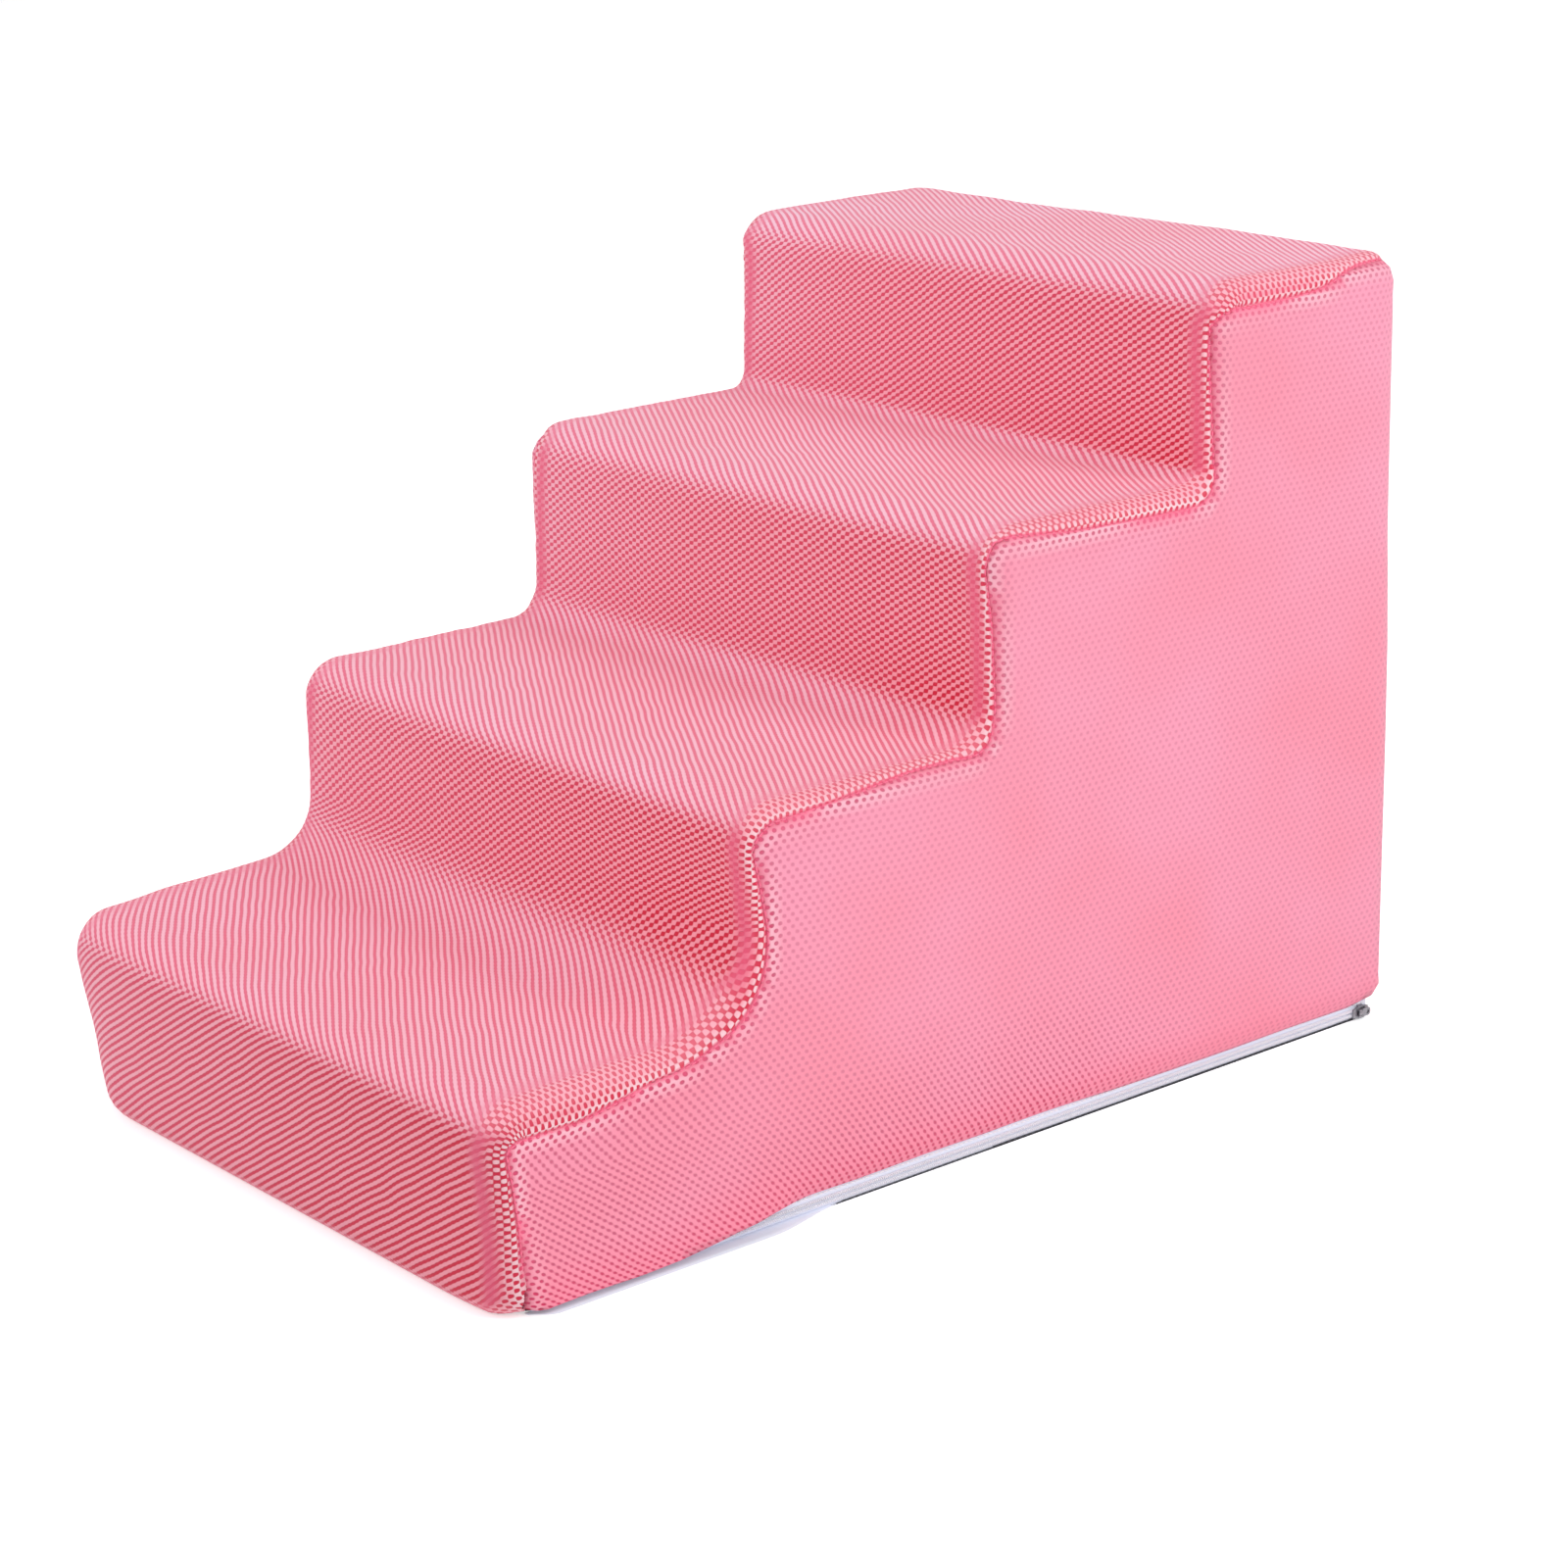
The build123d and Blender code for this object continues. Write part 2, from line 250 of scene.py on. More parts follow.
# The strip's grid repeats every 6.0 mm across and 3.9 mm along; the side's every 4.2 mm and 5.7 mm.
strip_mesh = spacer_mesh("polyester_spacer_mesh_strip", ((0.165, -0.260), (0.165, 0.254), (0.330, 0)),
                         (-0.35, 0.55), yarn="#FFC9DC", warm="#FFC0CF", hole="#F06E8E", deep_and_shade="#FFA0AF",
                         deep_and_shaded_hole="#D41239", pale_highlight="#FFF1F5", crease="#EE5A80")
side_mesh = spacer_mesh("polyester_spacer_mesh_side", ((0.235, -0.175), (0.235, 0.175), (0, 0.350)),
                        (-0.5, 2.3), yarn="#F79DB7", warm="#F795AB", hole="#C76985", deep_and_shade="#FC90A8",
                        deep_and_shaded_hole="#D42E5C", pale_highlight="#FFE3EC", crease="#F4648A")

# %% [markdown]
# ## The shape of the cover
# The side view of the stairs is a list of corners, each with its own radius: the foot, then a nose and an
# inner corner for each step, the top of the back, and the heel. The noses sink a little, as foam does under
# tight cloth, the fronts of the steps swell forward, and the cloth bridges the inner corners, more on the
# right than on the left. Towards each side the foot of the front is drawn back.

# %% Sizes of the cover
WIDTH, RUN, RISE, STEPS = 350, 140, 100, 4
HALF, FRONT, REAR = WIDTH / 2, -STEPS * RUN / 2, STEPS * RUN / 2
SAG, REAR_SAG = (4, 2, 2, 7), 4.5
FORWARD_LEFT, FORWARD_RIGHT = (8, 6, 3, 0), (8, 5, 0, 0)
BRIDGE_LEFT, BRIDGE_RIGHT = (30, 16, 10), (45, 20, 9)
NOSE, FOOT, SKIRT = 20, 12, 16
TUCK_REACH, TUCK_LEFT, TUCK_RIGHT = 45, 25, 4
FIRST_NOSE, FACE = RISE - SAG[0], FRONT - FORWARD_LEFT[0]


def smooth(t):
    """Eases from 0 to 1, and stays there outside that range."""
    t = min(max(t, 0), 1)
    return t * t * (3 - 2 * t)


def blend(a, b, t):
    return a + (b - a) * t


def chart(table, place):
    """Reads a value from a table of (place, value) pairs, straight between them."""
    for (a, low), (b, high) in zip(table, table[1:]):
        if place <= b:
            return blend(low, high, max(0, place - a) / (b - a))
    return table[-1][1]


def lean(x):
    """How much the front leans back towards its foot at x."""
    reach = max(0, abs(x) - (HALF - TUCK_REACH)) / TUCK_REACH
    return (TUCK_LEFT if x < 0 else TUCK_RIGHT) * reach * reach / FIRST_NOSE


def side_view(x, depth, low, foot):
    """Corners (y, z, radius) of the side view at x, a given depth inside the outside."""
    slant, share = depth * math.sqrt(1 + lean(x) ** 2), (x + HALF) / WIDTH
    corners = [(FACE + slant + (FIRST_NOSE - low) * lean(x), low, foot)]
    for step in range(STEPS):
        y = FRONT + step * RUN - blend(FORWARD_LEFT[step], FORWARD_RIGHT[step], share) + depth
        if step:
            bridge = blend(BRIDGE_LEFT[step - 1], BRIDGE_RIGHT[step - 1], share)
            corners.append((y, step * RISE - depth, bridge + depth))
        else:
            y = FACE + slant + depth * lean(x)
        corners.append((y, (step + 1) * RISE - SAG[step] - depth, NOSE - depth))
    corners.append((REAR - depth, STEPS * RISE - REAR_SAG - depth, NOSE - depth))
    corners.append((REAR - depth, low, foot))
    return corners


# %% [markdown]
# ### The underside
# The lower edge of the cover rolls up towards each side, and its margins end at the base panel, a rectangle
# with four rounded corners, the front left one the largest. On the left the strip's end and the side panel
# meet under the skirt: CORNER holds how far behind the front, for a height on the panel's flat cloth. Such a
# height is below 0 where the cloth has curled under.

# %% Underside
BASE_INSET, BASE_RIGHT, MARGIN_GAP = 12, 168.19, 0.9
BASE_LEFT, BASE_FRONT, BASE_REAR = -HALF + BASE_INSET, FRONT + BASE_INSET, REAR - BASE_INSET
ROUND_FRONT_LEFT, ROUND_REAR_LEFT, ROUND_RIGHT = 45, 20, 6
UNDER, CORNER = 10.8, ((-8, 19.4), (6, 13.5), (16, 12.6))
LIFT_FRONT, LIFT_REAR = 3.4, 9


def low_edge(x, end):
    """Height of the strip's lower edge at x, at the front (end -1) or the rear (end 1)."""
    past = min(max(0, abs(x) - (HALF - SKIRT)), SKIRT)
    raised = SKIRT - math.sqrt(SKIRT * SKIRT - past * past)
    if x < 0:
        return raised
    return LIFT_FRONT * (1 - math.exp(-raised / LIFT_FRONT)) if end < 0 else LIFT_REAR * smooth((x - 150) / 16)


def base_edge(x, end):
    """The base panel's front edge (end -1) or rear edge (end 1) at x."""
    if x < 0:
        radius, past = (ROUND_FRONT_LEFT if end < 0 else ROUND_REAR_LEFT), BASE_LEFT - x
    else:
        radius, past = ROUND_RIGHT, x - BASE_RIGHT
    past = min(max(0, past + radius), radius)
    return (BASE_FRONT if end < 0 else BASE_REAR) - end * (radius - math.sqrt(radius ** 2 - past ** 2))


def front_edge(side, w, depth):
    """The place y of a side panel's front edge, so far behind the front, at a height w on the cloth."""
    slope = lean(side * HALF)
    return FACE + depth * math.sqrt(1 + slope * slope) + (FIRST_NOSE - w) * slope


def skirt_height(x):
    """The height on the left panel's flat cloth that ends up at x, under the skirt."""
    return SKIRT - SKIRT * math.acos(1 - (x + HALF) / SKIRT)


# %% [markdown]
# ### Rows along the strip
# A path with rounded corners is cut into steps of about 3.5 mm. The path's parts are numbered: straights
# are even and turns are odd, so the first riser runs from 2 to 3, its nose from 3 to 4 and its tread from
# 4 to 5. This number, the station, says where a row of the cloth lies.

# %% Follow a rounded path
RUNS = (2, 18, 30, 20, 33, 21, 33, 21, 29, 105, 2)
TURNS = (6, 10, 14, 10, 9, 10, 6, 10, 10, 6)
stations = [2 * k + i / RUNS[k] if part == "run" else 2 * k + 1 + i / TURNS[k]
            for k in range(len(RUNS)) for part in ("run", "turn") if part == "run" or k < len(TURNS)
            for i in range(RUNS[k] if part == "run" else TURNS[k])] + [2 * len(RUNS) - 1]


def follow(corners, start, end, runs, turns):
    """Points along a path with rounded corners: so many steps on each straight, and on each turn."""
    path = [Vector(start)] + [Vector(corner[:2]) for corner in corners] + [Vector(end)]
    points = []
    here = path[0]
    for number, (corner, radius) in enumerate(zip(path[1:-1], [c[2] for c in corners])):
        into = (corner - path[number]).normalized()
        out = (path[number + 2] - corner).normalized()
        angle = into.angle(out)
        slide = radius * math.tan(angle / 2)
        turn_start = corner - into * slide
        points += [here.lerp(turn_start, k / runs[number]) for k in range(runs[number])]
        inward = (out - into * into.dot(out)).normalized()
        centre = turn_start + inward * radius
        for k in range(turns[number]):
            swing = angle * k / turns[number]
            points.append(centre + into * radius * math.sin(swing) - inward * radius * math.cos(swing))
        here = corner + out * slide
    return points + [here.lerp(path[-1], k / runs[-1]) for k in range(runs[-1] + 1)]


def foot_radius(x, end):
    """Radius of the strip's turn to the underside. It gets tight at the sides, but not at the front right."""
    past = min(max(0, abs(x) - (HALF - 10)), 10)
    return FOOT + 0.1 * past if x > 0 and end < 0 else FOOT - 10 + math.sqrt(100 - past ** 2)


def lay_line(x, depth):
    """The rows' places (y, z) at x, a given depth inside, from the base's front edge to its rear edge."""
    front, rear = (side_view(x, depth, low_edge(x, end), foot_radius(x, end)) for end in (-1, 1))
    corners = front[:-1] + rear[-1:]
    ends = []
    for end, corner in ((-1, corners[0]), (1, corners[-1])):
        rounded = corner[0] - end * 1.05 * corner[2]
        if x > SKIRT - HALF:
            edge = base_edge(min(x, HALF - SKIRT), end) + end * MARGIN_GAP
        elif end > 0:
            edge = corner[0] - UNDER + depth
        else:
            w = skirt_height(x)
            edge = front_edge(-1, w, chart(CORNER, w))
        ends.append(max(rounded, edge) if end < 0 else min(rounded, edge))
    return follow(corners, (ends[0], corners[0][1]), (ends[1], corners[-1][1]), RUNS, TURNS)


# %% [markdown]
# ### Over the edge
# At each side the strip rolls over a rounded edge, and the seam lies part of the way round it: far round on
# the treads, hardly round on the risers, and on the back not at all. Two charts, read by station,
# hold the edge's radius and the seam's depth, which were measured along the seam of the real one.
# The right foot has a chart of its own for the seam, since the strip rolls round that corner with a wide turn.
# From the charts come two helpers: where a given distance across the cloth lies on the rounded edge, and how
# far across the cloth the seam is.

# %% Rounded edges and the seam
ROUNDING = ((0, 2.5), (1.84, 2.5), (2, 12), (4.7, 12), (6, 10), (16.6, 10), (17.4, 20), (18, 25), (18.2, 22),
            (18.32, 20), (18.48, 15), (18.77, 12), (19, 9), (21, 8))
SEAM = ((0, 2.3), (1.84, 2.3), (2, 12.6), (2.45, 12.3), (2.8, 10.5), (3, 9), (3.2, 9.6), (3.44, 12.2),
        (4, 14.5), (4.34, 15.3), (4.62, 11.9), (4.88, 9), (5.14, 7.8), (5.3, 7.8), (5.46, 10.4), (5.6, 11.6),
        (5.76, 11.4), (5.93, 10.4), (6.3, 8), (6.82, 5), (7.08, 3.8), (7.44, 5.2), (8, 6.6), (8.31, 5.2),
        (8.74, 2.4), (9, 2.6), (9.45, 6), (9.8, 3.5), (10.6, 2), (11, 0.6), (11.5, 0.5), (12, 4), (12.3, 7),
        (12.7, 8.6), (13, 9.2), (13.5, 6.5), (14, 3.5), (14.8, 1.4), (15, 1.6), (15.16, 3.5), (15.42, 8.6),
        (16, 12), (16.35, 11.9), (16.54, 10.3), (16.72, 5.3), (16.84, 3.4), (17, 3.2), (17.5, 2), (18, 0),
        (21, 0))
SEAM_UNDER = ((0, 1.5), (1, 3), (1.4, 6), (1.7, 11), (2, 12.6))


def over_edge(across, roll):
    """Place (x, depth) on the rounded edge for a distance across the cloth."""
    angle = (across - HALF + roll) / roll
    if angle <= 0:
        return across, 0.0
    if angle <= math.pi / 2:
        return HALF - roll + roll * math.sin(angle), roll * (1 - math.cos(angle))
    return HALF, roll + (angle - math.pi / 2) * roll


def edge_at(station, side=1):
    """The edge's radius and the seam's depth, for which the right foot has numbers of its own."""
    if side > 0 and station < 2:
        return chart(ROUNDING, 2), chart(SEAM_UNDER, station)
    return chart(ROUNDING, station), chart(SEAM, station)


def seam_across(station, side=1):
    """Distance across the cloth from the middle of the strip to its seam."""
    roll, depth = edge_at(station, side)
    if depth <= roll:
        return HALF - roll + roll * math.acos(1 - depth / roll)
    return HALF - roll + roll * math.pi / 2 + depth - roll


# %% [markdown]
# The rows are worked out once for a set of places across the stairs, and any other place is read between
# them. The left of the first step is fuller than the rest, so every piece of cover there is moved with it.

# %% Surface of the cover
SPACING = 2.5
LEFT_OUT, TREAD_UP = 4, 2.4
xs = [-HALF + SPACING * k for k in range(int(WIDTH / SPACING) + 1)]
outside = [lay_line(x, 0) for x in xs]
inside = [lay_line(x, 1) for x in xs]


def surface(x, row, depth):
    """Point of the cover at x on a row, a given depth inside the outside."""
    place = min(max((x + HALF) / SPACING, 0), len(xs) - 1.001)
    k, share = int(place), place - int(place)
    outer = outside[k][row].lerp(outside[k + 1][row], share)
    inner = inside[k][row].lerp(inside[k + 1][row], share)
    return Vector((x, *(outer + (inner - outer) * depth)))


def stand_out(place):
    """Moves a point of the cover: the first step's left side stands out, and its tread rises."""
    left, ahead = smooth((-place.x - 40) / 135), smooth((-100 - place.y) / 70)
    on_tread = smooth((place.y + 266) / 40) * smooth((-138 - place.y) / 22)
    place.z += TREAD_UP * left * on_tread * smooth((place.z - 60) / 30)
    place.x -= LEFT_OUT * left * ahead * smooth(place.z / 30)
    return place


middle = outside[len(outside) // 2]
along = [0.0]
for before, after in zip(middle, middle[1:]):
    along.append(along[-1] + (after - before).length)
print("the strip is", round(along[-1]), "mm long in", len(along), "rows")


# %% [markdown]
# ## Finishing a piece
# A helper finishes each piece: it scales the mesh to metres, shades it smooth, gives it a material and
# makes it ride on its body. Others add the smooth noise that cloth needs, the cloth's flat measures as a UV
# map, and its thickness, which fades out at the seams.


# %% Helpers that finish a piece
def finish(bm, name, material, body, *nodes, slot=None):
    """Turns a bmesh in millimetres into a piece in metres that stands for the named CAD nodes."""
    bmesh.ops.scale(bm, vec=(MM,) * 3, verts=bm.verts)
    for face in bm.faces:
        face.smooth = True
    mesh = bpy.data.meshes.new(name)
    bm.to_mesh(mesh)
    bm.free()
    mesh.materials.append(material)
    piece = bpy.data.objects.new(name, mesh)
    bpy.context.scene.collection.objects.link(piece)
    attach(piece, body)
    if nodes:
        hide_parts(*nodes)
    print(f"{name}: {len(mesh.vertices)} vertices, {len(mesh.polygons)} faces")
    return piece


def ripple(x, y, z, size, seed):
    """Smooth noise between about -1 and 1, with bumps of that size in millimetres."""
    return noise.noise(Vector((x, y, z)) / size + Vector((seed, seed, seed)))


def cloth_layers(bm):
    """The layers that a cloth piece carries: weave, tone and the group that holds its thickness."""
    return (bm.verts.layers.float_color.new("weave"), bm.verts.layers.float_color.new("tone"),
            bm.verts.layers.deform.verify())


def flat_uv(bm, flat):
    """Writes each vertex's flat place (in mm) as the UV map named cloth."""
    uv = bm.loops.layers.uv.new("cloth")
    for face in bm.faces:
        for loop in face.loops:
            loop[uv].uv = (flat[loop.vert][0] * MM, flat[loop.vert][1] * MM)


def face_outwards(bm, side):
    """Turns the faces of a sheet towards one side of the stairs."""
    bmesh.ops.recalc_face_normals(bm, faces=bm.faces)
    if sum(face.normal.x * face.calc_area() for face in bm.faces) * side < 0:
        bmesh.ops.reverse_faces(bm, faces=bm.faces)


def thicken(piece, thickness, fading=True):
    """Gives a sheet its thickness, inwards from the face that shows. It may fade out towards the seams."""
    wall = piece.modifiers.new("thickness", "SOLIDIFY")
    wall.thickness = thickness * MM
    wall.offset = -1
    if fading:
        piece.vertex_groups.new(name="full")
        wall.vertex_group = "full"
        wall.thickness_vertex_group = 0.3


# %% [markdown]
# ## The strip
# The strip is one length of cloth that covers the front, every tread and riser, the top and the back.
# It starts as a flat grid, as a cut length of cloth does, and each vertex is then laid on the stairs: its row
# says how far along it lies, and its column how far across. The outer columns keep their distance from
# the seam, so they follow it where it wanders. The outermost column is tucked in behind the side panel.

# %% Lay the strip
STRIP_THICK, PANEL_THICK = 3, 2.4
TUCKED, FIRST_TUCKED_ROW = 5, 8
EVEN, FROM_SEAM = 22, (24, 21, 18, 15.5, 13, 10.5, 8, 6, 4.2, 2.8, 1.6, 0.8, 0.1, -0.5)
half_columns = EVEN + len(FROM_SEAM)
bm = bmesh.new()
bmesh.ops.create_grid(bm, x_segments=2 * half_columns, y_segments=len(along) - 1, size=1)
weave, tone, group = cloth_layers(bm)
flat, rows, to_seam = {}, {}, {}
for vert in bm.verts:
    column = round(vert.co.x * half_columns)
    row = round((vert.co.y + 1) / 2 * (len(along) - 1))
    side = -1 if column < 0 else 1
    seam = seam_across(stations[row], side)
    if abs(column) <= EVEN:
        across = abs(column) / EVEN * (seam - FROM_SEAM[0] - 3)
    else:
        tucked = abs(column) == half_columns and row >= FIRST_TUCKED_ROW
        across = seam - FROM_SEAM[abs(column) - EVEN - 1] * (TUCKED if tucked else 1)
    x, depth = over_edge(across, edge_at(stations[row], side)[0])
    vert.co = stand_out(surface(side * x, row, depth))
    flat[vert], rows[vert], to_seam[vert] = (side * across, along[row]), row, seam - across
flat_uv(bm, flat)
bmesh.ops.recalc_face_normals(bm, faces=bm.faces)
bm.normal_update()

# %% [markdown]
# The laid cloth is then pushed in and out a little: broad waves over the treads and risers, and short puckers
# beside the seams, where the sewing gathers it. At the same time its knit is painted: stripes that rise on
# the risers and fall on the treads, and open holes on the rolled edges. Painted shade deepens the risers,
# most towards their right edges, the inner corners on the right and the treads nearer the floor, and dims the
# lower risers, the first one most; a painted highlight pales the open knit beside the seams.
# Four charts are read by station: how far the risers' stripes are crossed by others, how far painted shade
# dims the cloth and deepens the risers, and how far from the seam the open holes reach.

# %% Waves, puckers and knit of the strip
CROSSED = ((3, 0.16), (5, 0.68), (8, 0.85), (12, 0.85), (14, 0.65), (16, 0.6))
PAINTED_DIMMING = ((3.3, 0.905), (5, 0.96), (10, 0.98), (14, 1.0))
RISER_SHADE = ((8, 0.75), (10, 0.62), (16, 0.6))
REACH = ((3.2, 9), (3.4, 6), (9, 5), (10, 3.5), (16, 3))
for vert in bm.verts:
    x, y, z = vert.co
    across, gap, station = flat[vert][0], to_seam[vert], stations[rows[vert]]
    near = 1 - smooth((gap - 2) / 16)
    push = 1.3 * ripple(x, y, z, 85, 3) * (1 - near)
    push += 0.6 * ripple(x, y, z, 30, 7) * (1 - 0.4 * near)
    push += 0.5 * ripple(0, y, z, 7, 11) * near * smooth(gap / 2)
    push -= 1.1 * (1 - smooth(gap / 2.4)) + (1.3 if gap < 0 else 0)
    tilt = smooth((abs(vert.normal.z) - 0.25) / 0.5)
    sewn = smooth((station - 1.9) / 0.2)
    vert.co += vert.normal * push * smooth((station - 1.9) / 0.5) * smooth((19 - station) * 20)
    mottle, share = 0.5 + 0.5 * ripple(x, y, z, 55, 19), max(0, (x + HALF) / WIDTH)
    rising = blend(1.0, 0.1 + 0.12 * mottle, tilt)
    falling = blend(chart(CROSSED, station) * (0.8 + 0.4 * mottle), 1.0, tilt)
    rolled = seam_across(station) - HALF + edge_at(station)[0]
    reach = blend(chart(REACH, station), max(6, rolled), tilt)
    opened = smooth((reach + 2 - gap) / 4) * (sewn if x < 0 else 1)
    crest = math.exp(-((gap - reach - blend(5, 3.5, tilt)) / blend(4, 2.8, tilt)) ** 2)
    # Painted shade: the deep share gathers in the inner corners on the right, grows towards the risers' right
    # edges and on the lower treads.
    corner_shade = sum(math.exp(-((station - inner) / 0.7) ** 2) for inner in (5.6, 9.6, 13.6)) * smooth((x - 60) / 90)
    deep_and_shade = blend(0.2 + chart(RISER_SHADE, station) * share ** 0.45, 0.36 * (1 - min(z / 400, 1)), tilt)
    deep_and_shade += 0.25 * corner_shade
    # Painted shade dims the lower risers, the first one most and towards its right.
    painted_dim = blend(chart(PAINTED_DIMMING, station) - 0.06 * share * (station < 3.5), 1.0, tilt)
    edge = smooth((6 - gap) / 4)
    stitched = blend(0.6, 0.85, tilt) * sewn * smooth((1.5 - gap) / 0.8)
    vert[weave] = (blend(rising, 1.0, opened), blend(falling, 1.0, opened), 0.35 * opened,
                   blend(1.0, 0.9, tilt) * (1 - 0.3 * crest) * (1 - 0.15 * opened * tilt))
    # Tone: the deep share, partly painted shade; the pale share, a painted highlight on the open knit beside
    # the seams; the crease; and painted dimming.
    vert[tone] = (min(blend(deep_and_shade, blend(0.9, 0.7, tilt), opened), 1.2),
                  blend(0.25 + 0.35 * edge, 0.05 + 0.2 * edge, tilt) * opened,
                  max(stitched, crest * blend(0.75, 0.35, tilt)), painted_dim)
    vert[group][0] = smooth((gap - 1) / 4)
step_strip = finish(bm, "step_strip", strip_mesh, "stairs", "cover_step_strip", slot="strip_mesh")
thicken(step_strip, STRIP_THICK)

# %% [markdown]
# ## The side panels
# A side panel is cut to the shape of the side view. It starts as one flat face, whose outline follows the
# seam and then the hem. Its border is inset ring by ring for the seam, and planes cut the middle
# so it can bend. Only then is it laid on the side: near the seam it rolls with the edge, and below
# the skirt line it curls under.

# %% Panel helpers
RINGS = (0.4, 0.6, 0.8, 1.2, 2.0, 3.0)
CELL = 7
BELOW, UP_STEPS, DOWN_STEPS = 60, 40, 130


def curl(w):
    """Place (distance inside the side, z) of a height w on the cloth, which curls under at the skirt."""
    angle = (SKIRT - w) / SKIRT
    if angle <= 0:
        return 0.0, w
    if angle >= math.pi / 2:
        return SKIRT + (angle - math.pi / 2) * SKIRT, 0.0
    return SKIRT - SKIRT * math.cos(angle), SKIRT - SKIRT * math.sin(angle)


def height_on_cloth(z):
    """The height on the flat cloth that ends up at height z."""
    return z if z >= SKIRT else SKIRT - SKIRT * math.asin(1 - z / SKIRT)


def heel(side, z):
    """How far the back has rounded in towards the underside at height z."""
    below = min(max(0, FOOT + low_edge(side * (HALF - 9), 1) - z), FOOT)
    return FOOT - math.sqrt(FOOT * FOOT - below * below)


def nearest(point, path):
    """Distance from a point to a path, the nearest segment's number, and the place on it."""
    best = (1e9, 0, 0.0)
    for number, (a, b) in enumerate(zip(path, path[1:])):
        run = b - a
        share = min(max((point - a).dot(run) / max(run.length_squared, 1e-9), 0), 1)
        gap = (point - a - run * share).length
        if gap < best[0]:
            best = (gap, number, share)
    return best


def side_path(side):
    """The outside of the side view at one side, drawn on below the floor at both ends, and its stations."""
    corners = side_view(side * HALF, 0, 0, 1)[1:-1]
    slope = lean(side * HALF)
    start = (FACE + (FIRST_NOSE + BELOW) * slope, -BELOW)
    points = follow(corners, start, (REAR, -BELOW), (UP_STEPS,) + RUNS[2:9] + (DOWN_STEPS,), TURNS[1:9])
    foot, heel = (low_edge(side * HALF, end) + foot_radius(side * HALF, end) for end in (-1, 1))
    nose, top = FIRST_NOSE - NOSE, STEPS * RISE - REAR_SAG - NOSE
    front_run = [2 + max(0, p.y - foot) / (nose - foot) for p in points[:UP_STEPS]]
    rear_run = [18 + min(1, (top - p.y) / (top - heel)) for p in points[-DOWN_STEPS - 1:]]
    between = [s for s in stations if 3 <= s < 18]
    return points, front_run + between + rear_run


def unrolled(station):
    """Depth of the seam inside the side view, measured on the flat panel."""
    roll = chart(ROUNDING, station)
    return seam_across(station) - (HALF - roll) - roll * math.pi / 2 + roll + 0.05


def panel(side, hem):
    """A flat side panel (0, y, w) with a fine border. hem lists its lower edge from the rear to the front.

    Returned with it are its outline along the seam, its area, and the length and height in metres of the
    cloth that it is cut from.
    """
    points, marks = side_path(side)
    outline = []
    for k in range(1, len(points) - 1):
        heading = (points[k + 1] - points[k - 1]).normalized()
        inward = Vector((heading.y, -heading.x))
        outline.append(points[k] + inward * unrolled(marks[k]))
    outline = [p for p in outline if p.y > (hem[0][1] if p.x > 0 else hem[-1][1]) + 0.5]
    border = outline + [Vector(point) for point in hem]
    flat = tuple((max(p[i] for p in border) - min(p[i] for p in border)) * MM for i in (0, 1))
    bm = bmesh.new()
    bm.faces.new([bm.verts.new((0, *p)) for p in border])
    bmesh.ops.remove_doubles(bm, verts=bm.verts, dist=0.3)
    area = bm.faces[:][0].calc_area()
    inner = bm.faces[:]
    for ring in RINGS:
        bmesh.ops.inset_region(bm, faces=inner, thickness=ring, use_even_offset=True)
    parts = list(inner[0].verts) + list(inner[0].edges) + inner
    for axis, low, high in ((Vector((0, 1, 0)), FRONT, REAR), (Vector((0, 0, 1)), -2 * SKIRT, STEPS * RISE)):
        for k in range(1, int((high - low) / CELL)):
            parts = bmesh.ops.bisect_plane(bm, geom=parts, dist=0.01, plane_co=axis * (low + k * CELL),
                                           plane_no=axis)["geom"]
    return bm, outline, area, flat


# %% [markdown]
# The panel is laid in three moves: round the edge, under the skirt, and, near the front of the zip, straight
# down instead. Then its border dips into the seam and swells beside it, where the seam allowance lies
# underneath. The knit opens beside the seam, and towards the front and the hem its rows join to stripes that
# follow the cloth's grain, which is pulled askew there.


